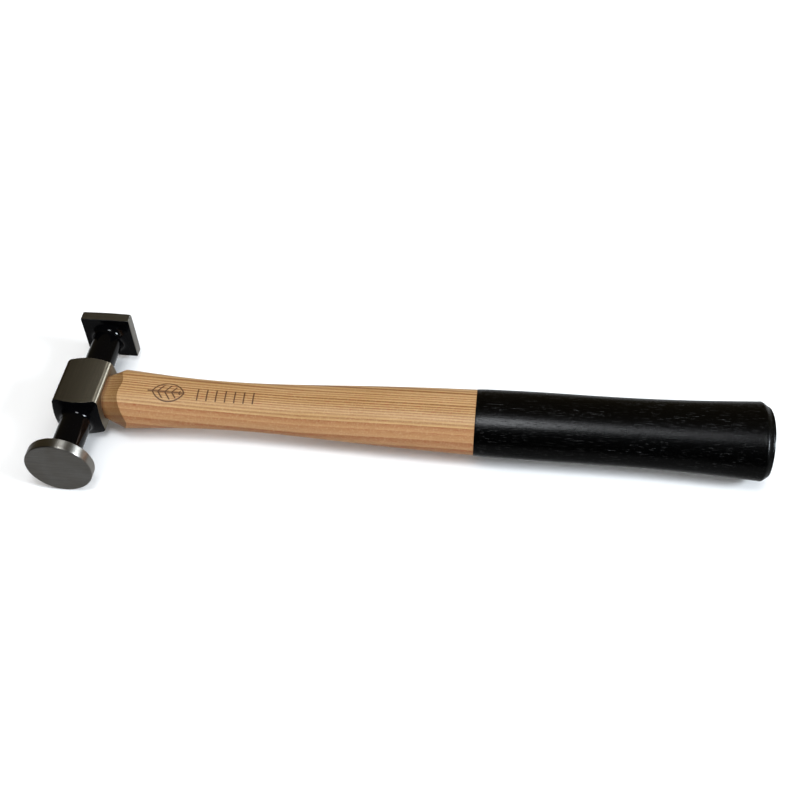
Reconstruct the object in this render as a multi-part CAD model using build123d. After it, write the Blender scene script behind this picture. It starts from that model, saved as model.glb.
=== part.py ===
"""Auto-body hammer: double-faced steel head, hickory handle, dipped grip, wood and steel wedges.

Millimetres, +Z up. The handle runs along +X, the head lies along Y with its round face
towards -Y and its square face towards +Y. The pieces are modelled about the middle of the
eye and moved at the end, so that the origin is the centre of the round striking face.
"""
from build123d import *
from math import cos, radians, sin, tan
import os

# --- head: overall ---------------------------------------------------------------------
HEAD_REACH = 43.5            # eye centre to either striking face, along Y
NECK_R = 6.75                # the two round necks between block and faces
FACE_FILLET = 3.5            # neck into the back of either face

# --- head: middle block ----------------------------------------------------------------
BLOCK_HALF_X = 10.85         # mid-face, eye side
BLOCK_HALF_Z = 10.75         # mid-face, cheek side
BLOCK_CROWN = 0.35           # how far each ground side stands proud at its middle
BLOCK_EDGE_R = 2.0           # rolled long edges
BLOCK_END = 13.8             # eye centre to the block's end at the middle of a side
END_SLOPE = 25.6             # degrees, the cone turned on each end of the block
BLOCK_FILLET = 3.2           # cone into neck

# --- head: faces -----------------------------------------------------------------------
ROUND_R = 15.0               # round face, 30 mm across
ROUND_THICK = 5.0
ROUND_EDGE_R = 0.6
SQUARE_SIDE = 23.8
SQUARE_THICK = 5.4           # at the middle; the square face is very slightly crowned
SQUARE_CROWN_R = 220.0
SQUARE_EDGE = 0.3
PAINT = 0.12                 # outside of the black coat on necks, block ends and backs of the faces
PAINT_GAP = 0.02             # the coat's inside, so that it touches nothing

# --- eye and tenon ---------------------------------------------------------------------
EYE_Y = 19.4                 # long way of the eye, along the head
EYE_Z = 16.0
EYE_CORNER = 6.4
EYE_SPREAD = 1.0             # how much wider the eye is at its far mouth
TENON_SHY = 0.25             # the tenon and its wedges stop this far inside the far mouth
BODY_OFFSET = -0.55          # the handle's body sits this far in Y off the eye's centre line

# --- handle: half widths along Y at stations along X --------------------------------------
OVAL = 0.81                  # height of the oval over its width
STATIONS = [(9.0, 15.2), (21.0, 14.5), (40.0, 13.05), (68.0, 12.0), (96.0, 12.6), (133.0, 14.4),
            (168.0, 15.65), (205.0, 16.35), (240.0, 16.3), (275.0, 17.05), (304.7, 18.65)]
SHOULDER_ANGLE = 23.5        # degrees, the cut that takes the oval down to the tenon
SHOULDER_LENGTH = 12.5
BUTT_CHAMFER = 2.0           # taken off the half width
BUTT_CHAMFER_LONG = 2.35     # along X
BUTT_DOME = 2.4

# --- grip coat -------------------------------------------------------------------------
DIP_LINE = 180.2             # the coat covers everything beyond this X
COAT = 0.30

# --- wedges ----------------------------------------------------------------------------
WOOD_WEDGE_DEEP = 16.0
WOOD_WEDGE_THICK = 2.8       # at the head end
WOOD_WEDGE_TIP = 0.8
KERF = 0.8
KERF_DEEP = 19.0
STEEL_WEDGE_DEEP = 13.0
STEEL_WEDGE_WIDE = 11.0
STEEL_WEDGE_THICK = 2.2
STEEL_WEDGE_TIP = 0.5
BARB = 0.25                  # each of the steel wedge's two steps

NECK_MIDDLE = 26.0           # where an arm passes from the block's outline to its face's
OUTLINE_DEEP = 40.0          # length of the tools that trim an arm to its outlines
PROFILE_R = 18.0             # an arm is turned to this radius before it is trimmed

SHOULDER_START = BLOCK_HALF_X + 0.1
TENON_END = -BLOCK_HALF_X + TENON_SHY
EYE_END = -BLOCK_HALF_X - 0.6      # the eye passes right through


def at_x(x):
    """A sketch plane across the handle: its x runs along Y and its y along Z."""
    return Plane(origin=(x, 0, 0), x_dir=(0, 1, 0), z_dir=(1, 0, 0))


def slab(low, high, reach=60):
    """A wide block between two values of Y, for cutting the head into stretches."""
    return Pos(0, (low + high) / 2, 0) * Box(reach, high - low, reach)


# --- head ------------------------------------------------------------------------------

def arm_profile(coat, face_thick, face_r):
    """Half section of one arm of the head: block end, neck and face, as X = radius, Y along the head.

    coat thickens the painted stretch, from the block's end to the back of the face."""
    slope = radians(END_SLOPE)
    neck = NECK_R + coat
    back = HEAD_REACH - face_thick - coat

    # the cone passes through the middle of a side at BLOCK_END, pushed out by the coat
    def cone_y(radius):
        return BLOCK_END + coat / cos(slope) - tan(slope) * (radius - BLOCK_HALF_X)

    # cone into neck: an arc that touches both, and the point halfway round it
    r = BLOCK_FILLET - coat
    touch_r = neck + r - r * sin(slope)
    centre_y = cone_y(touch_r) + r * cos(slope)
    halfway = radians(225 - END_SLOPE / 2)
    root_arc = [(touch_r, cone_y(touch_r)), (neck + r + r * cos(halfway), centre_y + r * sin(halfway)),
                (neck, centre_y)]

    # neck into the back of the face, a quarter round
    r = FACE_FILLET - coat
    bulge = r * (1 - cos(radians(45)))
    tip_arc = [(neck, back - r), (neck + bulge, back - bulge), (neck + r, back)]
    with BuildLine() as line:
        Polyline((0, 0), (PROFILE_R, 0), (PROFILE_R, cone_y(PROFILE_R)), root_arc[0])
        ThreePointArc(*root_arc)
        Line(root_arc[-1], tip_arc[0])
        ThreePointArc(*tip_arc)
        Polyline(tip_arc[-1], (face_r, back), (face_r, HEAD_REACH), (0, HEAD_REACH), (0, 0))
    return make_face(line.line)


def block_prism():
    """The block's crowned section, run well past both of its ends."""
    edge_x = BLOCK_HALF_X - BLOCK_CROWN
    edge_z = BLOCK_HALF_Z - BLOCK_CROWN
    sides = [
        ThreePointArc((edge_x, -edge_z), (BLOCK_HALF_X, 0), (edge_x, edge_z)),
        ThreePointArc((edge_x, edge_z), (0, BLOCK_HALF_Z), (-edge_x, edge_z)),
        ThreePointArc((-edge_x, edge_z), (-BLOCK_HALF_X, 0), (-edge_x, -edge_z)),
        ThreePointArc((-edge_x, -edge_z), (0, -BLOCK_HALF_Z), (edge_x, -edge_z)),
    ]
    section = make_face(sides)
    section = fillet(section.vertices(), BLOCK_EDGE_R)
    return extrude(Plane.XZ * section, OUTLINE_DEEP, both=True)


def square_prism():
    """The square face's outline with eased corners and its faintly crowned front."""
    section = fillet(Rectangle(SQUARE_SIDE, SQUARE_SIDE).vertices(), SQUARE_EDGE * 2)
    prism = Pos(0, HEAD_REACH, 0) * extrude(Plane.XZ * section, OUTLINE_DEEP / 2, both=True)
    crown = Pos(0, HEAD_REACH - SQUARE_CROWN_R, 0) * Sphere(SQUARE_CROWN_R)
    return prism & crown


def round_prism():
    """The round face's rim with its eased front edge."""
    rim = Cylinder(ROUND_R, OUTLINE_DEEP)
    rim = fillet(rim.edges().sort_by(Axis.Z)[-1], ROUND_EDGE_R)
    rim = Rot(-90, 0, 0) * rim
    return Pos(0, HEAD_REACH - OUTLINE_DEEP / 2, 0) * rim


def trimmed(solid, face_outline):
    """Cut one arm to the block's section at its root and to its face's outline at its tip."""
    root = solid & block_prism() & slab(0, NECK_MIDDLE)
    tip = solid & face_outline & slab(NECK_MIDDLE, HEAD_REACH + 1)
    return root + tip


def square_arm(profile):
    """The arm towards +Y, from its half section."""
    return trimmed(revolve(profile, Axis.Y), square_prism())


def round_arm(profile):
    """The arm towards -Y, from its half section."""
    return Rot(0, 0, 180) * trimmed(revolve(profile, Axis.Y), round_prism())


def eye_tool():
    """The hole through the block: straight on the handle side, spreading to the far mouth."""
    hole = RectangleRounded(EYE_Y, EYE_Z, EYE_CORNER)
    mouth = RectangleRounded(EYE_Y + EYE_SPREAD, EYE_Z + EYE_SPREAD, EYE_CORNER + EYE_SPREAD / 2)
    straight = extrude(at_x(0) * hole, SHOULDER_START)
    spread = loft([at_x(EYE_END) * mouth, at_x(0) * hole])
    return straight + spread


def head(eye):
    """The forged head in one piece, with its eye."""
    square = square_arm(arm_profile(0, SQUARE_THICK, PROFILE_R))
    plain_round = round_arm(arm_profile(0, ROUND_THICK, ROUND_R))
    return plain_round + square - eye


def skin_profile(thick, face_r):
    """Half section of the black coat on one arm, a hair clear of the steel."""
    return arm_profile(PAINT, thick, face_r) - arm_profile(PAINT_GAP, thick, face_r)


# --- handle ----------------------------------------------------------------------------

def oval(x, half_width):
    """One cross-section of the handle."""
    return at_x(x) * Ellipse(half_width, half_width * OVAL)


def butt(coat):
    """The chamfered and faintly domed end beyond the last station."""
    x, wide = STATIONS[-1]
    wide = wide + coat
    rim = wide - BUTT_CHAMFER
    rim_x = x + BUTT_CHAMFER_LONG
    end = at_x(rim_x) * Ellipse(rim, wide * OVAL - BUTT_CHAMFER)
    chamfer = loft([at_x(x) * Ellipse(wide, wide * OVAL), end], ruled=True)
    dome_r = (rim ** 2 + BUTT_DOME ** 2) / (2 * BUTT_DOME)
    dome = Pos(rim_x + BUTT_DOME + coat - dome_r, 0, 0) * Sphere(dome_r)
    return chamfer + (extrude(end, BUTT_DOME + 1) & dome)


def shaft(coat):
    """The oval body of the handle from inside the shoulder to the butt."""
    body = loft([oval(x, wide + coat) for x, wide in STATIONS])
    return Pos(0, BODY_OFFSET, 0) * (body + butt(coat))


def shoulder_tool():
    """What the shoulder cut leaves: the eye's outline, opening out along the handle."""
    opening = extrude(at_x(SHOULDER_START) * RectangleRounded(EYE_Y, EYE_Z, EYE_CORNER), SHOULDER_LENGTH,
                      taper=-SHOULDER_ANGLE)
    waste_low = STATIONS[0][0] - 1
    waste_high = SHOULDER_START + SHOULDER_LENGTH
    waste = Pos((waste_low + waste_high) / 2, 0, 0) * Box(waste_high - waste_low, 60, 60)
    return waste - opening


def handle(eye, wedges):
    """The hickory handle: body, shoulder and the tenon that fills the eye round the wedges."""
    body = shaft(0) - shoulder_tool()
    beyond = Pos(TENON_END - 5, 0, 0) * Box(10, 60, 60)
    kerf = Pos(TENON_END + KERF_DEEP / 2, 0, 0) * Box(KERF_DEEP, EYE_Y * 2, KERF)
    wood = body + eye - beyond - kerf
    for wedge in wedges:
        wood = wood - wedge
    return wood


def grip_coat():
    """The dipped black coat over the grip end."""
    butt_end = STATIONS[-1][0] + 10
    keep = Pos((DIP_LINE + butt_end) / 2, 0, 0) * Box(butt_end - DIP_LINE, 60, 60)
    return (shaft(COAT) & keep) - shaft(0)


# --- wedges ----------------------------------------------------------------------------

def wedge_plate(upper, wide):
    """A wedge driven from the tenon's end towards +X, wide along Y.

    upper holds the points of its upper side as (depth, half thickness)."""
    upper = [(TENON_END + depth, half) for depth, half in upper]
    lower = [(x, -half) for x, half in reversed(upper)]
    outline = make_face(Polyline(*upper, *lower, close=True))
    return extrude(Plane.XZ * outline, wide / 2, both=True)


def steel_wedge():
    """A short wedge with two barbs a side, driven across the wooden one."""
    step = STEEL_WEDGE_DEEP / 3
    half = STEEL_WEDGE_THICK / 2
    drop = (STEEL_WEDGE_THICK - STEEL_WEDGE_TIP) / 6
    sides = [(0, half), (step, half - drop - BARB), (step, half - drop),
             (2 * step, half - 2 * drop - BARB), (2 * step, half - 2 * drop),
             (3 * step, STEEL_WEDGE_TIP / 2)]
    return Rot(90, 0, 0) * wedge_plate(sides, STEEL_WEDGE_WIDE)


def wood_wedge(eye, cross):
    """The long wooden wedge, trimmed to the eye and split by the steel one."""
    sides = [(0, WOOD_WEDGE_THICK / 2), (WOOD_WEDGE_DEEP, WOOD_WEDGE_TIP / 2)]
    plate = wedge_plate(sides, EYE_Y * 2)
    return (plate & eye) - cross


def main():
    os.makedirs("parts", exist_ok=True)
    place = Pos(0, HEAD_REACH, 0)
    eye = eye_tool()
    cross = steel_wedge()
    split = wood_wedge(eye, cross)
    pieces = {
        "head": head(eye),
        "round_arm_paint": round_arm(skin_profile(ROUND_THICK, ROUND_R)),
        "square_arm_paint": square_arm(skin_profile(SQUARE_THICK, PROFILE_R)),
        "handle": handle(eye, [split, cross]),
        "grip_coat": grip_coat(),
        "wood_wedge": split,
        "steel_wedge": cross,
    }
    for name, piece in pieces.items():
        export_step(place * piece, f"parts/{name}.step")


main()
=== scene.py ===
"""Looks of the auto-body hammer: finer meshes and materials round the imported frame.

Lengths are in millimetres in the helpers and turned into metres when a mesh is made.
The hammer's own axes meet in the eye: X along the handle, Y along the head, Z up.
"""
import math

import bmesh
import bpy
import numpy as np
from mathutils import Matrix, Vector


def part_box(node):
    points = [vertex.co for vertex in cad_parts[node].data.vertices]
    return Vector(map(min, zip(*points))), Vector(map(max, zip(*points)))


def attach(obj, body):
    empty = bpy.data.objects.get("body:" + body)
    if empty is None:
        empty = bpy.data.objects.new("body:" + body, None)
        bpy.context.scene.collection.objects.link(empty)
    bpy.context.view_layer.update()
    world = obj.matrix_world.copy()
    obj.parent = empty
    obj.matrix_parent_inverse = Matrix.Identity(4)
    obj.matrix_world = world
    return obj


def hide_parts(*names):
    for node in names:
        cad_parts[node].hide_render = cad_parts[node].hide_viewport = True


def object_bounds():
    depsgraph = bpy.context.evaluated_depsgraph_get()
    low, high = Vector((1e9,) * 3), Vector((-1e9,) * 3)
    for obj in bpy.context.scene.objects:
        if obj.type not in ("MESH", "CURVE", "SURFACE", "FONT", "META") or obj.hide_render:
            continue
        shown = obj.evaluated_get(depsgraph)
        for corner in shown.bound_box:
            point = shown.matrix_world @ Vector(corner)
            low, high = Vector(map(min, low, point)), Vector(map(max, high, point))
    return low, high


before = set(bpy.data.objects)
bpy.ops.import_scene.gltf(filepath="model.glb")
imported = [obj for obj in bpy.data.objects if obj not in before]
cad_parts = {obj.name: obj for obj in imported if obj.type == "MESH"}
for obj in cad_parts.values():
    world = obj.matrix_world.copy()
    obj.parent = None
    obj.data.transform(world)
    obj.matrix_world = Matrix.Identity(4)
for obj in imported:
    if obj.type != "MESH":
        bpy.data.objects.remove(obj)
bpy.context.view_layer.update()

MM = 0.001
HEAD_LOW, HEAD_HIGH = (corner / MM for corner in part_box("head"))
HEAD_REACH = (HEAD_HIGH.y - HEAD_LOW.y) / 2      # eye to either striking face
EYE = Vector((0, HEAD_LOW.y + HEAD_REACH, 0))    # where the two axes cross

# --- head ------------------------------------------------------------------------------
NECK_R = 6.75
BLOCK_HALF_X = 10.85
BLOCK_HALF_Z = 10.75
BLOCK_CROWN = 0.35
BLOCK_EDGE_R = 2.0
BLOCK_END = 13.8
END_SLOPE = math.radians(25.6)
BLOCK_FILLET = 3.2
FACE_FILLET = 3.5
ROUND_R = HEAD_HIGH.x
ROUND_THICK = 5.0
SQUARE_HALF = 11.9
SQUARE_THICK = 5.4
SQUARE_CROWN_R = 220.0
SQUARE_CORNER_R = 0.6
ROUND_FRONT_EDGE = 0.6                           # rounding of the faces' front and back edges
SQUARE_FRONT_EDGE = 0.35
FACE_BACK_EDGE = 0.25
PAINT_OUT = 0.12                                 # the paint's two skins, above the steel
PAINT_IN = 0.02
PAINT_RIM = 0.3                                  # the paint stops this far short of a face's rim
PAINT_INSET = 0.05                               # and this far inside the block's outline
EYE_HALF_Y = 9.7
EYE_HALF_Z = 8.0
EYE_CORNER = 6.4
EYE_SPREAD = 0.5
EYE_LIP = 0.3
EYE_PATCH = 42                                   # degrees to either side of X of the patch round the eye
HEAD_SHARP = 24                                  # degrees between faces at which an edge counts as sharp
HEAD_BEVEL = 0.12

# --- handle ----------------------------------------------------------------------------
OVAL = 0.81
BODY_OFFSET = -0.55
STATIONS = [(9.0, 15.2), (21.0, 14.5), (40.0, 13.05), (68.0, 12.0), (96.0, 12.6), (133.0, 14.4),
            (168.0, 15.65), (205.0, 16.35), (240.0, 16.3), (275.0, 17.05), (304.7, 18.65)]
SHOULDER_START = BLOCK_HALF_X + 0.1
SHOULDER_SLOPE = math.tan(math.radians(23.5))
TENON_END = -BLOCK_HALF_X + 0.35                 # the wedges' ends stand 0.1 proud of the wood
BUTT_CHAMFER = 2.0
BUTT_CHAMFER_LONG = 2.35
BUTT_DOME = 2.4
DIP_LINE = 180.2
COAT = 0.28
FEATHER = 4.0                                    # the coat thins to FEATHER_EDGE over this length
FEATHER_EDGE = 0.05
COAT_INSIDE = 0.01                               # clearance of the coat's inner skin over the wood
TENON_GAP = 0.04                                 # clearance of the tenon in the eye
TENON_EDGE = 0.35
BODY_START = 26.0                                # beyond this the section is the plain oval

AROUND = 384                                     # points round every section


# --- mesh helpers ----------------------------------------------------------------------

def to_row(points):
    """Points about the eye in millimetres, as points in the row frame in metres."""
    return (np.array(points, float) + np.array(EYE)) * MM


def make_piece(name, points, faces, materials, sharp=30.0):
    """One mesh object that rides on the hammer's body."""
    mesh = bpy.data.meshes.new(name)
    mesh.from_pydata([tuple(p) for p in to_row(points)], [], faces)
    for material in materials:
        mesh.materials.append(material)
    work = bmesh.new()
    work.from_mesh(mesh)
    bmesh.ops.remove_doubles(work, verts=work.verts, dist=1e-7)
    bmesh.ops.recalc_face_normals(work, faces=work.faces)
    work.to_mesh(mesh)
    work.free()
    mesh.shade_smooth()
    mesh.set_sharp_from_angle(angle=math.radians(sharp))
    piece = bpy.data.objects.new(name, mesh)
    bpy.context.scene.collection.objects.link(piece)
    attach(piece, "root")
    return piece


class Sheets:
    """Collects rings of points and the quads between them into one point and face list."""

    def __init__(self):
        self.points = []
        self.faces = []

    def rings(self, rings, closed=True):
        """Quads between neighbouring rings, each an array of the same number of points."""
        start = len(self.points)
        count = len(rings[0])
        for ring in rings:
            self.points.extend(map(tuple, ring))
        spans = count if closed else count - 1
        for row in range(len(rings) - 1):
            low = start + row * count
            for i in range(spans):
                j = (i + 1) % count
                self.faces.append((low + i, low + j, low + count + j, low + count + i))


def solve(inside, low, high, steps=40):
    """Largest value for which inside(value) holds, element by element."""
    low = np.array(low, float)
    high = np.array(high, float)
    for _ in range(steps):
        mid = (low + high) / 2
        keep = inside(mid)
        low = np.where(keep, mid, low)
        high = np.where(keep, high, mid)
    return low


def rounded_box(a, b, half_a, half_b, corner):
    """Signed distance to a rounded rectangle."""
    qa = np.abs(a) - (half_a - corner)
    qb = np.abs(b) - (half_b - corner)
    outside = np.hypot(np.maximum(qa, 0), np.maximum(qb, 0))
    return outside + np.minimum(np.maximum(qa, qb), 0) - corner


def rounded_reach(angle, half_a, half_b, corner):
    """How far a rounded rectangle reaches in the direction of angle."""
    return solve(lambda r: rounded_box(r * np.cos(angle), r * np.sin(angle), half_a, half_b, corner) < 0,
                 np.zeros_like(angle), np.full_like(angle, 60.0))


# --- head ------------------------------------------------------------------------------

def block_distance(x, z):
    """Signed distance to the block's crowned section."""
    edge_x = BLOCK_HALF_X - BLOCK_CROWN
    edge_z = BLOCK_HALF_Z - BLOCK_CROWN
    half_x = BLOCK_HALF_X - BLOCK_CROWN * np.minimum(1, (z / edge_z) ** 2)
    half_z = BLOCK_HALF_Z - BLOCK_CROWN * np.minimum(1, (x / edge_x) ** 2)
    return rounded_box(x, z, half_x, half_z, BLOCK_EDGE_R)


def block_reach(angle):
    """How far the block's section reaches in the direction of angle."""
    return solve(lambda r: block_distance(r * np.cos(angle), r * np.sin(angle)) < 0,
                 np.zeros_like(angle), np.full_like(angle, 30.0))


def block_side(z):
    """X of the block's side at height z."""
    return solve(lambda x: block_distance(x, z) < 0, np.zeros_like(z), np.full_like(z, 30.0))


def cone(radius, coat):
    """Y of the block's turned end at a radius."""
    return BLOCK_END + coat / math.cos(END_SLOPE) - math.tan(END_SLOPE) * (radius - BLOCK_HALF_X)


def arm_stations(coat, block_r, face_r, back, rim_in):
    """(radius, Y) pairs from the block's outline to the back of the face, for every direction."""
    neck = NECK_R + coat
    stations = []
    r = BLOCK_FILLET - coat
    touch = neck + r - r * math.sin(END_SLOPE)
    centre_y = cone(touch, coat) + r * math.cos(END_SLOPE)
    for t in np.linspace(0, 1, 6):
        radius = block_r + (touch - block_r) * t
        stations.append((radius, cone(radius, coat)))
    for angle in np.linspace(math.pi * 1.5 - END_SLOPE, math.pi, 12)[1:]:
        stations.append((neck + r + r * math.cos(angle), centre_y + r * math.sin(angle)))
    r = FACE_FILLET - coat
    for t in np.linspace(0, 1, 10)[1:]:
        stations.append((neck, centre_y + (back - r - centre_y) * t))
    for angle in np.linspace(0, math.pi / 2, 12)[1:]:
        stations.append((neck + r * (1 - math.cos(angle)), back - r * (1 - math.sin(angle))))
    for t in np.linspace(0, 1, 6)[1:]:
        stations.append((neck + r + (face_r - rim_in - neck - r) * t, back))
    return stations


def turn(stations, angle, side):
    """Rings of points about the head's axis from (radius, Y) pairs."""
    rings = []
    for radius, y in stations:
        radius = np.broadcast_to(radius, angle.shape)
        y = np.broadcast_to(y, angle.shape)
        rings.append(np.stack([radius * np.cos(angle), side * y, radius * np.sin(angle)], 1))
    return rings


def face_outline(side, angle):
    """(reach in each direction, thickness, front rounding) of the face on one side."""
    if side > 0:
        reach = rounded_reach(angle, SQUARE_HALF, SQUARE_HALF, SQUARE_CORNER_R)
        return reach, SQUARE_THICK, SQUARE_FRONT_EDGE
    return np.full_like(angle, ROUND_R), ROUND_THICK, ROUND_FRONT_EDGE


def front_y(side, radius):
    """Y of the striking face at a radius: flat on the round one, faintly crowned on the square one."""
    if side > 0:
        return HEAD_REACH - SQUARE_CROWN_R + np.sqrt(SQUARE_CROWN_R ** 2 - radius ** 2)
    return np.full_like(radius, HEAD_REACH)


def face_stations(side, face_r, thick, front_round, back_round):
    """The rim and the striking face, from the back's edge to near the middle."""
    back = HEAD_REACH - thick
    stations = []
    for angle in np.linspace(0, math.pi / 2, 4)[1:]:
        stations.append((face_r - back_round * (1 - math.sin(angle)),
                         back + back_round * (1 - math.cos(angle))))
    edge_y = front_y(side, face_r - front_round)
    for t in np.linspace(0, 1, 9)[1:]:
        stations.append((face_r, back + back_round + (edge_y - front_round - back - back_round) * t))
    for angle in np.linspace(0, math.pi / 2, 8)[1:]:
        stations.append((face_r - front_round * (1 - math.cos(angle)),
                         edge_y - front_round * (1 - math.sin(angle))))
    for t in (0.95, 0.85, 0.7, 0.5, 0.3, 0.12):
        radius = (face_r - front_round) * t
        stations.append((radius, front_y(side, radius)))
    return stations


def build_head(material):
    """The forging: crowned block with its eye, two turned arms and two faces."""
    sheets = Sheets()
    angle = np.arange(AROUND) / AROUND * 2 * math.pi
    reach = block_reach(angle)
    end_y = cone(reach, 0)
    for side in (-1, 1):
        face_r, thick, front_round = face_outline(side, angle)
        stations = arm_stations(0, reach, face_r, HEAD_REACH - thick, FACE_BACK_EDGE)
        stations += face_stations(side, face_r, thick, front_round, FACE_BACK_EDGE)
        rings = turn(stations, angle, side)
        sheets.rings(rings)
        last = len(sheets.points) - AROUND
        sheets.points.append((0, side * HEAD_REACH, 0))
        for i in range(AROUND):
            sheets.faces.append((last + i, last + (i + 1) % AROUND, len(sheets.points) - 1))

    # the block's sides: plain strips above and below, and a patch with the eye in it at each end of X
    along = np.linspace(-1, 1, 41)
    patch = round(AROUND * EYE_PATCH / 360)
    for first, last in ((patch, AROUND // 2 - patch), (AROUND // 2 + patch, AROUND - patch)):
        index = np.arange(first, last + 1)
        rings = []
        for t in along:
            rings.append(np.stack([reach[index] * np.cos(angle[index]), t * end_y[index],
                                   reach[index] * np.sin(angle[index])], 1))
        sheets.rings(rings, closed=False)

    index = np.arange(-patch, patch + 1)
    side_z = reach[index] * np.sin(angle[index])
    side_y = end_y[index]
    loop = [(t * side_y[0], side_z[0]) for t in along]
    loop += [(y, z) for y, z in zip(side_y[1:], side_z[1:])]
    loop += [(t * side_y[-1], side_z[-1]) for t in along[::-1][1:]]
    loop += [(-y, z) for y, z in zip(side_y[::-1][1:-1], side_z[::-1][1:-1])]
    loop = np.array(loop)
    bearing = np.arctan2(loop[:, 1], loop[:, 0])
    tunnel = []
    for mouth in (1, -1):
        spread = 0 if mouth > 0 else EYE_SPREAD
        hole_r = rounded_reach(bearing, EYE_HALF_Y + spread, EYE_HALF_Z + spread, EYE_CORNER + spread)
        hole = np.stack([hole_r * np.cos(bearing), hole_r * np.sin(bearing)], 1)
        lip_loop = hole * (1 + EYE_LIP / hole_r)[:, None]
        rings = []
        for t in np.linspace(0, 1, 7):
            yz = loop + (lip_loop - loop) * t
            rings.append(np.stack([mouth * block_side(yz[:, 1]), yz[:, 0], yz[:, 1]], 1))
        inner = np.stack([mouth * (block_side(hole[:, 1]) - EYE_LIP), hole[:, 0], hole[:, 1]], 1)
        sheets.rings(rings + [inner])
        tunnel.append(inner)
    hole_r = rounded_reach(bearing, EYE_HALF_Y, EYE_HALF_Z, EYE_CORNER)
    waist = np.stack([np.zeros_like(bearing), hole_r * np.cos(bearing), hole_r * np.sin(bearing)], 1)
    sheets.rings([tunnel[0], waist, tunnel[1]])
    head = make_piece("head_forging", sheets.points, sheets.faces, [material], sharp=HEAD_SHARP)
    soften_edges(head, HEAD_BEVEL, HEAD_SHARP)
    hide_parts("head")
    return head


def soften_edges(piece, width, angle):
    """A narrow bevel along sharp edges, so that they catch the light."""
    bevel = piece.modifiers.new("edge", "BEVEL")
    bevel.width = width * MM
    bevel.segments = 2
    bevel.limit_method = "ANGLE"
    bevel.angle_limit = math.radians(angle)


def build_paint(side, name, node, material):
    """The black coat on one arm as a closed thin shell."""
    angle = np.arange(AROUND) / AROUND * 2 * math.pi
    reach = block_reach(angle)
    face_r, thick, _ = face_outline(side, angle)
    shells = []
    for coat in (PAINT_OUT, PAINT_IN):
        back = HEAD_REACH - thick - coat
        shells.append(turn(arm_stations(coat, reach - PAINT_INSET, face_r, back, PAINT_RIM), angle, side))
    outer, inner = shells
    sheets = Sheets()
    sheets.rings(outer + inner[::-1] + [outer[0]])
    paint = make_piece(name, sheets.points, sheets.faces, [material], sharp=40)
    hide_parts(node)
    return paint


# --- handle ----------------------------------------------------------------------------

def half_width(x):
    """Smooth half width of the handle at x, through the stations."""
    xs = np.array([s[0] for s in STATIONS])
    ws = np.array([s[1] for s in STATIONS])
    # natural cubic spline
    gaps = np.diff(xs)
    n = len(xs)
    system = np.zeros((n, n))
    right = np.zeros(n)
    system[0, 0] = system[-1, -1] = 1
    for i in range(1, n - 1):
        system[i, i - 1] = gaps[i - 1]
        system[i, i] = 2 * (gaps[i - 1] + gaps[i])
        system[i, i + 1] = gaps[i]
        right[i] = 6 * ((ws[i + 1] - ws[i]) / gaps[i] - (ws[i] - ws[i - 1]) / gaps[i - 1])
    bend = np.linalg.solve(system, right)
    x = np.clip(np.asarray(x, float), xs[0], xs[-1])
    i = np.clip(np.searchsorted(xs, x) - 1, 0, n - 2)
    h = gaps[i]
    a = (xs[i + 1] - x) / h
    b = (x - xs[i]) / h
    return a * ws[i] + b * ws[i + 1] + ((a ** 3 - a) * bend[i] + (b ** 3 - b) * bend[i + 1]) * h * h / 6


def oval_reach(angle, width, height):
    """Polar radius of an ellipse."""
    return 1 / np.sqrt((np.cos(angle) / width) ** 2 + (np.sin(angle) / height) ** 2)


def body_reach(angle, x, coat=0.0):
    """Polar radius of the body's oval about its own centre line."""
    width = half_width(x) + coat
    return oval_reach(angle, width, width * OVAL)


def shoulder_reach(angle, x):
    """Polar radius of the shoulder cut, which opens out from the eye's outline."""
    opening = (x - SHOULDER_START) * SHOULDER_SLOPE
    return rounded_reach(angle, EYE_HALF_Y + opening, EYE_HALF_Z + opening, EYE_CORNER + opening)


def body_reach_from_eye(angle, x):
    """Polar radius of the body's oval about the eye's centre line."""
    width = half_width(x)

    def inside(radius):
        y = radius * np.cos(angle) - BODY_OFFSET
        z = radius * np.sin(angle)
        return (y / width) ** 2 + (z / (width * OVAL)) ** 2 < 1

    return solve(inside, np.zeros_like(angle), np.full_like(angle, 40.0))


def across(angle, radius, x, offset=0.0):
    """A ring of points across the handle, about a centre line offset along Y."""
    radius = np.broadcast_to(radius, angle.shape)
    x = np.broadcast_to(x, angle.shape)
    return np.stack([x, offset + radius * np.cos(angle), radius * np.sin(angle)], 1)


def butt_rings(angle, coat):
    """The chamfer, its two softened edges and the faintly domed end."""
    x0, width = STATIONS[-1]
    width = width + coat
    height = width * OVAL
    long = BUTT_CHAMFER_LONG + coat
    steps = [(-0.6, 0.005), (-0.25, 0.03), (0.05, 0.11), (0.3, 0.28)]
    for t in np.linspace(0.25, 0.9, 6):
        steps.append((long * t, BUTT_CHAMFER * t))
    rings = []
    for dx, inset in steps:
        rings.append(across(angle, oval_reach(angle, width - inset, height - inset), x0 + dx, BODY_OFFSET))
    rim = BUTT_CHAMFER
    tip = x0 + BUTT_CHAMFER_LONG + BUTT_DOME + coat
    dome_r = ((width - rim) ** 2 + BUTT_DOME ** 2) / (2 * BUTT_DOME)
    for t in (0.993, 0.97, 0.9, 0.8, 0.65, 0.45, 0.25, 0.08):
        reach = oval_reach(angle, (width - rim) * t, (height - rim) * t)
        drop = dome_r - np.sqrt(dome_r ** 2 - reach ** 2)
        rings.append(across(angle, reach, tip - drop, BODY_OFFSET))
    return rings, (tip, BODY_OFFSET, 0)


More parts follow.
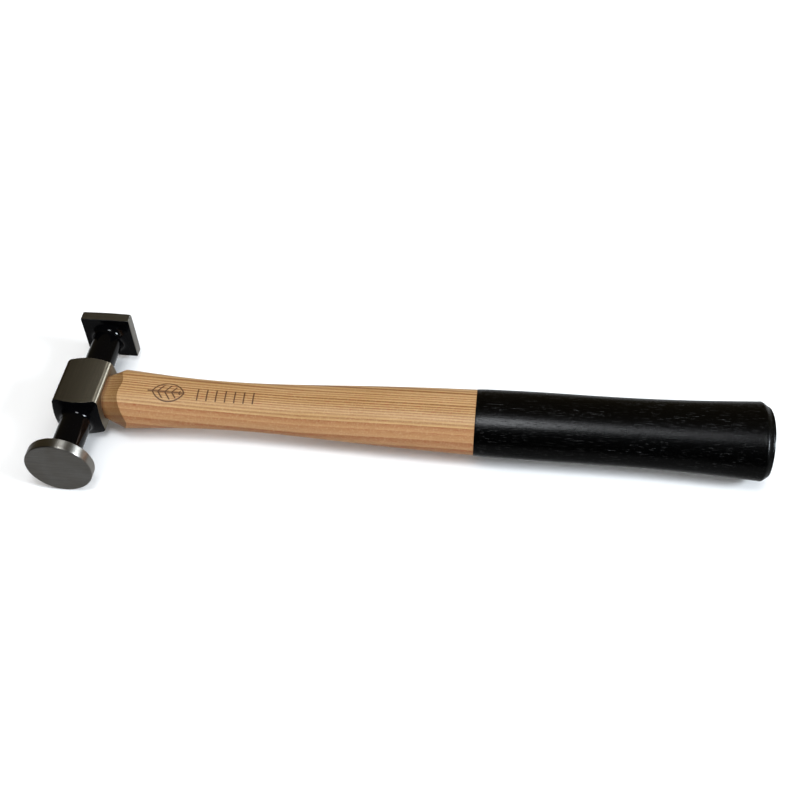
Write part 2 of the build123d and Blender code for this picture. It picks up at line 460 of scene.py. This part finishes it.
def build_handle(material):
    """The hickory stick: tenon in the eye, shoulder cut, oval body and butt."""
    angle = np.arange(AROUND) / AROUND * 2 * math.pi
    soft = TENON_EDGE
    sheets = Sheets()
    rings = []
    # tenon: softened end, spread in the far half of the eye, straight in the near half
    far = rounded_reach(angle, EYE_HALF_Y + EYE_SPREAD, EYE_HALF_Z + EYE_SPREAD, EYE_CORNER + EYE_SPREAD)
    far = far - TENON_GAP
    near = rounded_reach(angle, EYE_HALF_Y, EYE_HALF_Z, EYE_CORNER) - TENON_GAP
    for t in (0.15, 0.45, 0.75, 0.92):
        rings.append(across(angle, far * t, TENON_END))
    rings.append(across(angle, far - soft, TENON_END))
    rings.append(across(angle, far - soft * 0.3, TENON_END + soft * 0.3))
    rings.append(across(angle, far, TENON_END + soft))
    for t in np.linspace(0, 1, 8)[1:]:
        rings.append(across(angle, far + (near - far) * t, TENON_END * (1 - t)))
    for t in np.linspace(0, 1, 6)[1:]:
        rings.append(across(angle, near, SHOULDER_START * t))
    # shoulder cut: from the eye's mouth to where it meets the oval, in every direction
    meet = solve(lambda x: shoulder_reach(angle, x) < body_reach_from_eye(angle, x),
                 np.full_like(angle, SHOULDER_START), np.full_like(angle, 30.0))
    for t in np.linspace(0, 1, 24)[1:]:
        x = SHOULDER_START + (meet - SHOULDER_START) * t
        rings.append(across(angle, shoulder_reach(angle, x), x))
    for t in np.linspace(0, 1, 14)[1:]:
        x = meet + (BODY_START - meet) * t
        rings.append(across(angle, body_reach_from_eye(angle, x), x))
    for x in np.linspace(BODY_START, STATIONS[-1][0] - 1.0, 180)[1:]:
        rings.append(across(angle, body_reach_from_eye(angle, x), x))
    end, tip = butt_rings(angle, 0)
    rings += end
    sheets.points.append((TENON_END, 0, 0))
    sheets.rings(rings)
    for i in range(AROUND):
        sheets.faces.append((1 + (i + 1) % AROUND, 1 + i, 0))
    last = len(sheets.points) - AROUND
    sheets.points.append(tip)
    for i in range(AROUND):
        sheets.faces.append((last + i, last + (i + 1) % AROUND, len(sheets.points) - 1))
    handle = make_piece("hickory_handle", sheets.points, sheets.faces, [material], sharp=22)
    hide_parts("handle")
    return handle


def build_coat(material):
    """The dipped black coat as a closed shell that feathers out at the dip line."""
    angle = np.arange(AROUND) / AROUND * 2 * math.pi
    outer = []
    for x in (0.0, 0.08, 0.2, 0.5, 1.0, 2.0, 3.0, FEATHER):
        thick = FEATHER_EDGE + (COAT - FEATHER_EDGE) * math.sqrt(min(1, x / FEATHER))
        outer.append(across(angle, body_reach(angle, DIP_LINE + x, thick), DIP_LINE + x, BODY_OFFSET))
    for x in np.linspace(DIP_LINE + FEATHER, STATIONS[-1][0] - 1.0, 90)[1:]:
        outer.append(across(angle, body_reach(angle, x, COAT), x, BODY_OFFSET))
    end, tip = butt_rings(angle, COAT)
    outer += end
    inner = []
    for x in np.linspace(DIP_LINE, STATIONS[-1][0] - 1.0, 60):
        inner.append(across(angle, body_reach(angle, x, COAT_INSIDE), x, BODY_OFFSET))
    inner_end, inner_tip = butt_rings(angle, COAT_INSIDE)
    inner += inner_end
    sheets = Sheets()
    sheets.rings(inner[::-1] + outer)
    sheets.points += [inner_tip, tip]
    count = len(sheets.points)
    last = count - 2 - AROUND
    for i in range(AROUND):
        j = (i + 1) % AROUND
        sheets.faces.append((j, i, count - 2))
        sheets.faces.append((last + i, last + j, count - 1))
    coat = make_piece("grip_dip", sheets.points, sheets.faces, [material], sharp=30)
    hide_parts("grip_coat")
    return coat


# --- materials -------------------------------------------------------------------------

class Graph:
    """A short way to write the nodes of a new material, or of the world given."""

    def __init__(self, name, world=None):
        owner = world or bpy.data.materials.new(name)
        owner.use_nodes = True
        self.material = owner
        self.tree = owner.node_tree
        self.shader = self.tree.nodes["Background" if world else "Principled BSDF"]

    def node(self, kind, **settings):
        node = self.tree.nodes.new(kind)
        for key, value in settings.items():
            setattr(node, key, value)
        return node

    def feed(self, socket, value):
        if isinstance(value, bpy.types.NodeSocket):
            self.tree.links.new(value, socket)
        else:
            socket.default_value = value

    def math(self, operation, *values, clamp=False):
        node = self.node("ShaderNodeMath", operation=operation, use_clamp=clamp)
        for socket, value in zip(node.inputs, values):
            self.feed(socket, value)
        return node.outputs[0]

    def vector(self, operation, *values):
        node = self.node("ShaderNodeVectorMath", operation=operation)
        slots = [s for s in node.inputs if s.name != "Scale"]
        for socket, value in zip(slots, values):
            self.feed(socket, value)
        return node

    def millimetres(self, centre=(0, 0, 0)):
        """Object coordinates about a point, in millimetres."""
        where = self.node("ShaderNodeTexCoord").outputs["Object"]
        moved = self.vector("SUBTRACT", where, tuple(Vector(centre) * MM)).outputs[0]
        return self.vector("MULTIPLY", moved, (1000, 1000, 1000)).outputs[0]

    def stretch(self, point, factors):
        return self.vector("MULTIPLY", point, factors).outputs[0]

    def noise(self, point, scale=1.0, detail=2.0, roughness=0.5, output="Fac", **settings):
        node = self.node("ShaderNodeTexNoise", **settings)
        self.feed(node.inputs["Vector"], point)
        node.inputs["Scale"].default_value = scale
        node.inputs["Detail"].default_value = detail
        node.inputs["Roughness"].default_value = roughness
        return node.outputs[output]

    def ramp(self, value, low, high, to_low=0.0, to_high=1.0, smooth=False):
        node = self.node("ShaderNodeMapRange", clamp=True)
        if smooth:
            node.interpolation_type = "SMOOTHSTEP"
        self.feed(node.inputs["Value"], value)
        self.feed(node.inputs["From Min"], low)
        self.feed(node.inputs["From Max"], high)
        self.feed(node.inputs["To Min"], to_low)
        self.feed(node.inputs["To Max"], to_high)
        return node.outputs["Result"]

    def mix(self, factor, a, b, blend="MIX"):
        node = self.node("ShaderNodeMix", data_type="RGBA", blend_type=blend)
        self.feed(node.inputs["Factor"], factor)
        self.feed(node.inputs[6], a)
        self.feed(node.inputs[7], b)
        return node.outputs[2]

    def bump(self, height, distance, strength=1.0, normal=None):
        node = self.node("ShaderNodeBump")
        self.feed(node.inputs["Height"], height)
        node.inputs["Distance"].default_value = distance * MM
        node.inputs["Strength"].default_value = strength
        if normal is not None:
            self.feed(node.inputs["Normal"], normal)
        return node.outputs[0]


def rgb(red, green, blue):
    """An sRGB colour in 0 to 255 as linear RGBA."""
    def linear(value):
        value = value / 255
        return value / 12.92 if value <= 0.04045 else ((value + 0.055) / 1.055) ** 2.4
    return (linear(red), linear(green), linear(blue), 1.0)


def ground_steel():
    """Bare steel with fine grinding lines: round the rims, across the round face, along the block."""
    g = Graph("ground_steel")
    p = g.millimetres(EYE)
    place = g.node("ShaderNodeSeparateXYZ")
    g.feed(place.inputs[0], p)
    normal = g.node("ShaderNodeSeparateXYZ")
    g.feed(normal.inputs[0], g.node("ShaderNodeNewGeometry").outputs["True Normal"])
    facing = g.ramp(g.math("ABSOLUTE", normal.outputs["Y"]), 0.6, 0.9)
    on_face = g.ramp(g.math("ABSOLUTE", place.outputs["Y"]), BLOCK_END + 2, BLOCK_END + 3)
    rims = g.noise(g.stretch(p, (0.05, 7.0, 0.05)), 1.0, 4.0, 0.7)
    faces = g.noise(g.stretch(p, (0.05, 0.5, 3.6)), 1.0, 4.0, 0.7)
    block = g.noise(g.stretch(p, (7.0, 0.06, 7.0)), 1.0, 4.0, 0.7)
    lines = g.mix(on_face, block, g.mix(facing, rims, faces))
    cloud = g.noise(p, 0.10, 4.0, 0.6)
    tone = g.mix(g.ramp(cloud, 0.35, 0.65), rgb(206, 201, 192), rgb(218, 215, 209))
    tone = g.mix(on_face, rgb(198, 188, 168), tone)
    scuff = g.ramp(g.noise(g.stretch(p, (0.5, 0.8, 0.5)), 1.0, 4.0, 0.75), 0.60, 0.72)
    tone = g.mix(g.ramp(lines, 0.32, 0.68, 0.34, 0.0), tone, rgb(96, 90, 80))
    tone = g.mix(g.math("MULTIPLY", scuff, 0.12), tone, rgb(120, 112, 98))
    g.feed(g.shader.inputs["Base Color"], tone)
    g.shader.inputs["Metallic"].default_value = 1.0
    rough = g.ramp(lines, 0.2, 0.8, 0.34, 0.46)
    rough = g.math("ADD", rough, g.ramp(on_face, 0.0, 1.0, 0.14, 0.0))
    g.feed(g.shader.inputs["Roughness"], rough)
    g.feed(g.shader.inputs["Anisotropic"], g.ramp(facing, 0.0, 1.0, 0.9, 0.0))
    g.shader.inputs["Anisotropic Rotation"].default_value = 0.25
    tangent = g.node("ShaderNodeTangent", direction_type="RADIAL", axis="Y").outputs[0]
    g.feed(g.shader.inputs["Tangent"], tangent)
    g.feed(g.shader.inputs["Normal"], g.bump(lines, 0.015, 0.6))
    return g.material


def black_paint():
    """Gloss black enamel with faint orange peel and dust."""
    g = Graph("black_paint")
    p = g.millimetres(EYE)
    peel = g.noise(p, 0.7, 2.0, 0.5)
    dust = g.ramp(g.noise(p, 3.2, 1.0, 0.5), 0.72, 0.8)
    g.feed(g.shader.inputs["Base Color"], g.mix(dust, rgb(3, 3, 4), rgb(12, 12, 14)))
    g.feed(g.shader.inputs["Roughness"], g.ramp(dust, 0.0, 1.0, 0.10, 0.3))
    g.shader.inputs["Specular IOR Level"].default_value = 0.3
    height = g.math("ADD", peel, g.math("MULTIPLY", dust, 0.3))
    g.feed(g.shader.inputs["Normal"], g.bump(height, 0.03, 0.6))
    return g.material


PITH = (67.5, 59.4)              # Y and Z of the tree's heart, about the handle's centre line
FAST_START = 92.8                # beyond this far from the heart the rings are wide
SLOW_RING = 1.22                 # ring widths on either side of that
FAST_RING = 2.9
RING_TILT = 2.0                  # how far the rings lean away from the heart by the waist

LEAF = (41.5, 7.2, 4.6)          # centre along X, half length, half height
VEIN_PITCH = 3.2
TICKS = (55.0, 80.5, 4.25, 2.7)  # first, last, pitch along X, half height
MARK_LINE = 0.62                 # width of a burned line
FAR_OFF = 9.0                    # added to a distance where no line is wanted


def burned_marks(g, parts):
    """A plain leaf and a row of upright ticks, burned into the upper side of the handle."""
    x = parts.outputs["X"]
    # v runs round the handle, in the plane that faces up and a little forward
    along_y = g.math("MULTIPLY", parts.outputs["Y"], 0.97)
    along_z = g.math("MULTIPLY", parts.outputs["Z"], 0.24)
    v = g.math("ADD", g.math("ADD", along_y, along_z), 0.97)
    upward = g.ramp(parts.outputs["Z"], 2.0, 4.0)

    # leaf: two arcs that meet at its ends, a midrib with a stalk, and slanting veins
    middle, length, half = LEAF
    u = g.math("SUBTRACT", x, middle)
    aside = g.math("ABSOLUTE", v)
    arc_r = (length * length + half * half) / (2 * half)
    reach = g.math("SQRT", g.math("ADD", g.math("MULTIPLY", u, u),
                                  g.math("POWER", g.math("ADD", aside, arc_r - half), 2.0)))
    outline = g.math("ABSOLUTE", g.math("SUBTRACT", reach, arc_r))
    inside = g.math("LESS_THAN", reach, arc_r)
    past_rib = g.math("GREATER_THAN", g.math("ABSOLUTE", g.math("ADD", u, 1.0)), length + 1.2)
    rib = g.math("ADD", aside, g.math("MULTIPLY", past_rib, FAR_OFF))
    slant = g.math("SUBTRACT", u, g.math("MULTIPLY", aside, 0.75))
    veins = g.math("SUBTRACT", g.math("FRACT", g.math("DIVIDE", slant, VEIN_PITCH)), 0.5)
    veins = g.math("MULTIPLY", g.math("ABSOLUTE", veins), VEIN_PITCH * 0.8)
    near_edge = g.math("MULTIPLY", g.math("GREATER_THAN", reach, arc_r - 0.9), FAR_OFF)
    outside = g.math("MULTIPLY", g.math("SUBTRACT", 1.0, inside), FAR_OFF)
    veins = g.math("ADD", veins, g.math("ADD", near_edge, outside))
    leaf = g.math("MINIMUM", outline, g.math("MINIMUM", rib, veins))

    # ticks: all upright and of one height
    first, last, pitch, tall = TICKS
    t = g.math("DIVIDE", g.math("SUBTRACT", x, first), pitch)
    off = g.math("MULTIPLY", g.math("ABSOLUTE", g.math("SUBTRACT", t, g.math("ROUND", t))), pitch)
    beyond = g.math("MAXIMUM", g.math("SUBTRACT", x, last + 1), g.math("SUBTRACT", first - 1, x))
    over = g.math("SUBTRACT", aside, tall)
    ticks = g.math("MAXIMUM", off, g.math("MAXIMUM", beyond, over))
    line = g.math("MINIMUM", leaf, ticks)
    mark = g.ramp(line, MARK_LINE * 0.3, MARK_LINE * 0.7, 1.0, 0.0)
    return g.math("MULTIPLY", mark, upward)


def hickory():
    """Ring-porous hickory: rings about a far pith, fibres, pores and ray flecks."""
    g = Graph("hickory")
    p = g.millimetres(EYE)
    parts = g.node("ShaderNodeSeparateXYZ")
    g.feed(parts.inputs[0], p)
    dy = g.math("SUBTRACT", parts.outputs["Y"], PITH[0])
    dz = g.math("SUBTRACT", parts.outputs["Z"], PITH[1])
    out = g.math("SQRT", g.math("ADD", g.math("MULTIPLY", dy, dy), g.math("MULTIPLY", dz, dz)))
    drift = g.noise(g.stretch(p, (0.009, 0.03, 0.03)), 1.0, 1.0, 0.5)
    waver = g.noise(g.stretch(p, (0.035, 0.3, 0.3)), 1.0, 2.0, 0.5)
    out = g.math("ADD", out, g.math("MULTIPLY", g.math("SUBTRACT", drift, 0.5), 0.9))
    out = g.math("ADD", out, g.math("MULTIPLY", g.math("SUBTRACT", waver, 0.5), 0.15))
    out = g.math("SUBTRACT", out, g.ramp(parts.outputs["X"], 15.0, 100.0, 0.0, RING_TILT))
    # a slow-grown half with narrow rings, then wide ones
    turn = g.math("SUBTRACT", out, FAST_START)
    slow = g.math("DIVIDE", g.math("MINIMUM", turn, 0.0), SLOW_RING)
    fast = g.math("DIVIDE", g.math("MAXIMUM", turn, 0.0), FAST_RING)
    phase = g.math("ADD", slow, fast)
    uneven = g.noise(g.stretch(p, (0.0, 0.21, 0.17)), 1.0, 0.0, 0.5)
    wide = g.ramp(turn, -0.1, 0.1)
    uneven = g.math("MULTIPLY", uneven, g.ramp(turn, -3.0, 0.0, 1.0, 0.0))
    phase = g.math("ADD", phase, uneven)
    ring = g.math("FRACT", phase)
    early_start = g.ramp(wide, 0.0, 1.0, 0.30, 0.0)
    early_end = g.ramp(wide, 0.0, 1.0, 0.65, 0.95)
    early = g.ramp(ring, early_start, early_end, 1.0, 0.0)
    lead = g.ramp(ring, 0.88, 1.0)
    dark = g.math("MAXIMUM", early, lead)
    which = g.math("FLOOR", phase)
    strength = g.node("ShaderNodeTexWhiteNoise", noise_dimensions="1D")
    g.feed(strength.inputs["W"], which)
    dark = g.math("MULTIPLY", dark, g.ramp(strength.outputs["Value"], 0.0, 1.0, 0.4, 1.0))
    broad = g.noise(g.stretch(p, (0.02, 0.12, 0.12)), 1.0, 2.0, 0.5)
    fibre = g.noise(g.stretch(p, (0.05, 3.0, 3.0)), 1.0, 3.0, 0.65)
    light = g.mix(g.ramp(broad, 0.3, 0.7), rgb(176, 138, 88), rgb(188, 151, 104))
    light = g.mix(g.math("MULTIPLY", wide, 0.75), light, rgb(170, 126, 82))
    brown = g.mix(wide, rgb(114, 72, 31), rgb(140, 84, 46))
    colour = g.mix(g.math("MULTIPLY", dark, 0.95), light, brown)
    colour = g.mix(g.ramp(fibre, 0.42, 0.68, 0.0, 0.28), colour, rgb(126, 80, 42))
    # rays: pale short flecks across the rings; pores: reddish dashes along the grain
    ray = g.ramp(g.noise(g.stretch(p, (1.3, 0.9, 0.9)), 1.0, 2.0, 0.7), 0.5, 0.72, 0.0, 0.2)
    colour = g.mix(ray, colour, rgb(206, 176, 134))
    pore = g.noise(g.stretch(p, (0.38, 2.3, 2.3)), 1.0, 1.0, 0.5)
    pore = g.math("MULTIPLY", g.ramp(pore, 0.57, 0.65), g.ramp(dark, 0.25, 0.8, 0.15, 1.0))
    colour = g.mix(g.math("MULTIPLY", pore, 0.75), colour, rgb(140, 68, 36))
    # the shoulder cut faces the head and away from the light: painted shade, deepening away from the eye's
    # mouth
    normal = g.node("ShaderNodeSeparateXYZ")
    g.feed(normal.inputs[0], g.node("ShaderNodeNewGeometry").outputs["True Normal"])
    cut = g.ramp(normal.outputs["X"], -0.3, -0.2, 1.0, 0.0)
    cut = g.math("MULTIPLY", cut, g.ramp(parts.outputs["X"], 24.0, 25.0, 1.0, 0.0))
    cut = g.math("MULTIPLY", cut, g.ramp(parts.outputs["X"], 12.0, 24.0, 0.25, 0.65))
    colour = g.mix(cut, colour, rgb(104, 72, 38))
    # a reddish-brown ring just outside the eye: stained wood there, deepened by painted shadow of the head
    eye_mouth_stain_and_shade = g.math("MULTIPLY", g.ramp(parts.outputs["X"], 11.0, 12.6, 1.0, 0.0), 0.6)
    colour = g.mix(eye_mouth_stain_and_shade, colour, rgb(84, 48, 30))
    mark = burned_marks(g, parts)
    colour = g.mix(g.math("MULTIPLY", mark, 0.9), colour, rgb(62, 32, 16))
    g.feed(g.shader.inputs["Base Color"], colour)
    g.feed(g.shader.inputs["Roughness"], g.ramp(fibre, 0.2, 0.8, 0.36, 0.50))
    g.shader.inputs["Specular IOR Level"].default_value = 0.5
    height = g.math("SUBTRACT", g.math("MULTIPLY", fibre, 0.5), pore)
    height = g.math("SUBTRACT", height, g.math("MULTIPLY", mark, 1.5))
    g.feed(g.shader.inputs["Normal"], g.bump(height, 0.04, 0.6))
    return g.material


def grip_lacquer():
    """Semi-gloss black dip over open-grained wood: filled pores, grain and a few light scratches."""
    g = Graph("grip_lacquer")
    p = g.millimetres(EYE)
    grain = g.noise(g.stretch(p, (0.10, 2.0, 2.0)), 1.0, 4.0, 0.7)
    grit = g.noise(g.stretch(p, (1.0, 2.2, 2.2)), 1.0, 3.0, 0.7)
    patch = g.ramp(g.noise(g.stretch(p, (0.06, 0.22, 0.22)), 1.0, 2.0, 0.5), 0.38, 0.62)
    pore = g.ramp(g.noise(g.stretch(p, (0.28, 2.6, 2.6)), 1.0, 1.0, 0.5), 0.63, 0.69)
    pore = g.math("MULTIPLY", pore, g.ramp(patch, 0.0, 1.0, 0.15, 1.0))
    dust = g.ramp(g.noise(g.stretch(p, (0.9, 1.5, 1.5)), 1.0, 3.0, 0.8), 0.66, 0.76)
    worn = g.mix(g.math("MULTIPLY", pore, 0.75), rgb(1, 1, 1), rgb(34, 34, 34))
    g.feed(g.shader.inputs["Base Color"], g.mix(g.math("MULTIPLY", dust, 0.18), worn, rgb(40, 42, 46)))
    g.feed(g.shader.inputs["Roughness"], g.ramp(grain, 0.2, 0.8, 0.20, 0.30))
    g.shader.inputs["Specular IOR Level"].default_value = 0.32
    height = g.math("ADD", g.math("MULTIPLY", grain, 0.8), g.math("MULTIPLY", grit, 0.9))
    height = g.math("SUBTRACT", height, pore)
    g.feed(g.shader.inputs["Normal"], g.bump(height, 0.055, 0.8))
    return g.material


def wedge_wood():
    """Plain hardwood across the grain."""
    g = Graph("wedge_wood")
    p = g.millimetres(EYE)
    fibre = g.noise(g.stretch(p, (0.4, 0.6, 5.0)), 1.0, 3.0, 0.6)
    tone = g.mix(g.ramp(fibre, 0.3, 0.7), rgb(150, 104, 66), rgb(186, 140, 96))
    g.feed(g.shader.inputs["Base Color"], tone)
    g.feed(g.shader.inputs["Roughness"], g.ramp(fibre, 0.2, 0.8, 0.6, 0.75))
    g.feed(g.shader.inputs["Normal"], g.bump(fibre, 0.05, 0.6))
    return g.material


def wedge_steel():
    """Plain mild steel, peened at its head."""
    g = Graph("wedge_steel")
    p = g.millimetres(EYE)
    dents = g.noise(p, 1.2, 3.0, 0.6)
    g.feed(g.shader.inputs["Base Color"], g.mix(dents, rgb(120, 117, 112), rgb(160, 157, 152)))
    g.shader.inputs["Metallic"].default_value = 1.0
    g.feed(g.shader.inputs["Roughness"], g.ramp(dents, 0.2, 0.8, 0.35, 0.5))
    g.feed(g.shader.inputs["Normal"], g.bump(dents, 0.08, 0.7))
    return g.material


# --- pieces ----------------------------------------------------------------------------

steel = ground_steel()
paint = black_paint()
build_head(steel)
build_paint(-1, "round_arm_enamel", "round_arm_paint", paint)
build_paint(1, "square_arm_enamel", "square_arm_paint", paint)
build_handle(hickory())
build_coat(grip_lacquer())
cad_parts["wood_wedge"].data.materials[0] = wedge_wood()
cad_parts["steel_wedge"].data.materials[0] = wedge_steel()

# --- stage -----------------------------------------------------------------------------

FLOOR_HALF = 1.3                 # metres


def build_floor():
    """A plain pale floor under the hammer's lowest point."""
    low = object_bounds()[0][2]
    mesh = bpy.data.meshes.new("floor")
    corners = [(-1, -1), (1, -1), (1, 1), (-1, 1)]
    mesh.from_pydata([(x * FLOOR_HALF, y * FLOOR_HALF, low) for x, y in corners], [], [(0, 1, 2, 3)])
    floor = bpy.data.objects.new("floor", mesh)
    bpy.context.scene.collection.objects.link(floor)
    g = Graph("floor")
    g.shader.inputs["Base Color"].default_value = rgb(252, 252, 252)
    g.shader.inputs["Roughness"].default_value = 0.8
    mesh.materials.append(g.material)
    floor.visible_glossy = False


def softbox(name, place, aim, size, power, colour=(1, 1, 1), glossy=True):
    """A rectangular area light at place, pointing at aim; millimetres about the eye.

    A fill that isn't glossy lights the surfaces without showing in them."""
    light = bpy.data.lights.new(name, "AREA")
    light.shape = "RECTANGLE"
    light.size, light.size_y = (length * MM for length in size)
    light.energy = power
    light.color = colour
    lamp = bpy.data.objects.new(name, light)
    lamp.location = (Vector(place) + EYE) * MM
    lamp.rotation_euler = (Vector(aim) - Vector(place)).to_track_quat("-Z", "Y").to_euler()
    lamp.visible_glossy = glossy
    bpy.context.scene.collection.objects.link(lamp)


build_floor()
softbox("overhead", (130, -235, 960), (150, -5, 0), (280, 240), 3.0, (0.93, 0.97, 1.0))
softbox("right", (1530, -360, 864), (0, 0, 0), (430, 430), 26.0, (0.84, 0.92, 1.0))
softbox("overhead_fill", (150, -150, 1100), (150, 0, 0), (1700, 1300), 7.0, glossy=False)
softbox("front_fill", (120, -900, 420), (140, 0, 0), (1400, 500), 4.5, glossy=False)
softbox("back_fill", (120, 1200, 900), (140, 200, 0), (1600, 700), 11.0, glossy=False)


def studio():
    """A dim room to be mirrored: warm behind, near black in front, paler below the horizon."""
    world = bpy.data.worlds.new("studio")
    g = Graph("studio", world)
    way = g.node("ShaderNodeSeparateXYZ")
    g.feed(way.inputs[0], g.node("ShaderNodeTexCoord").outputs["Generated"])
    behind = g.ramp(way.outputs["Y"], -0.3, 0.6, smooth=True)
    upper = g.mix(behind, (0.003, 0.003, 0.003, 1), (0.066, 0.053, 0.03, 1))
    lower = g.mix(behind, (0.14, 0.142, 0.145, 1), (0.45, 0.46, 0.47, 1))
    colour = g.mix(g.ramp(way.outputs["Z"], -0.32, -0.12, smooth=True), lower, upper)
    # seen directly, the room is plain pale grey: the gradient is only what shows in the surfaces
    seen = g.node("ShaderNodeLightPath").outputs["Is Camera Ray"]
    colour = g.mix(seen, colour, (0.8, 0.8, 0.8, 1))
    g.feed(g.shader.inputs["Color"], colour)
    g.shader.inputs["Strength"].default_value = 1.0
    bpy.context.scene.world = world


studio()
bpy.context.scene.view_settings.view_transform = "Standard"

# --- camera ----------------------------------------------------------------------------

camera = bpy.data.cameras.new("camera")
camera.sensor_width = 36.0
camera.lens = 50.11
camera.shift_x = 0.0140
camera.shift_y = 0.0048
camera.clip_start = 0.01
viewer = bpy.data.objects.new("camera", camera)
place = (Vector((189.75, -327.44, 378.75)) + EYE) * MM
right = Vector((0.99313, 0.11317, -0.02969))
back = Vector((0.09737, -0.65877, 0.74602))
up = back.cross(right)
viewer.matrix_world = Matrix((right, up, back)).transposed().to_4x4()
viewer.matrix_world.translation = place
bpy.context.scene.collection.objects.link(viewer)
bpy.context.scene.camera = viewer
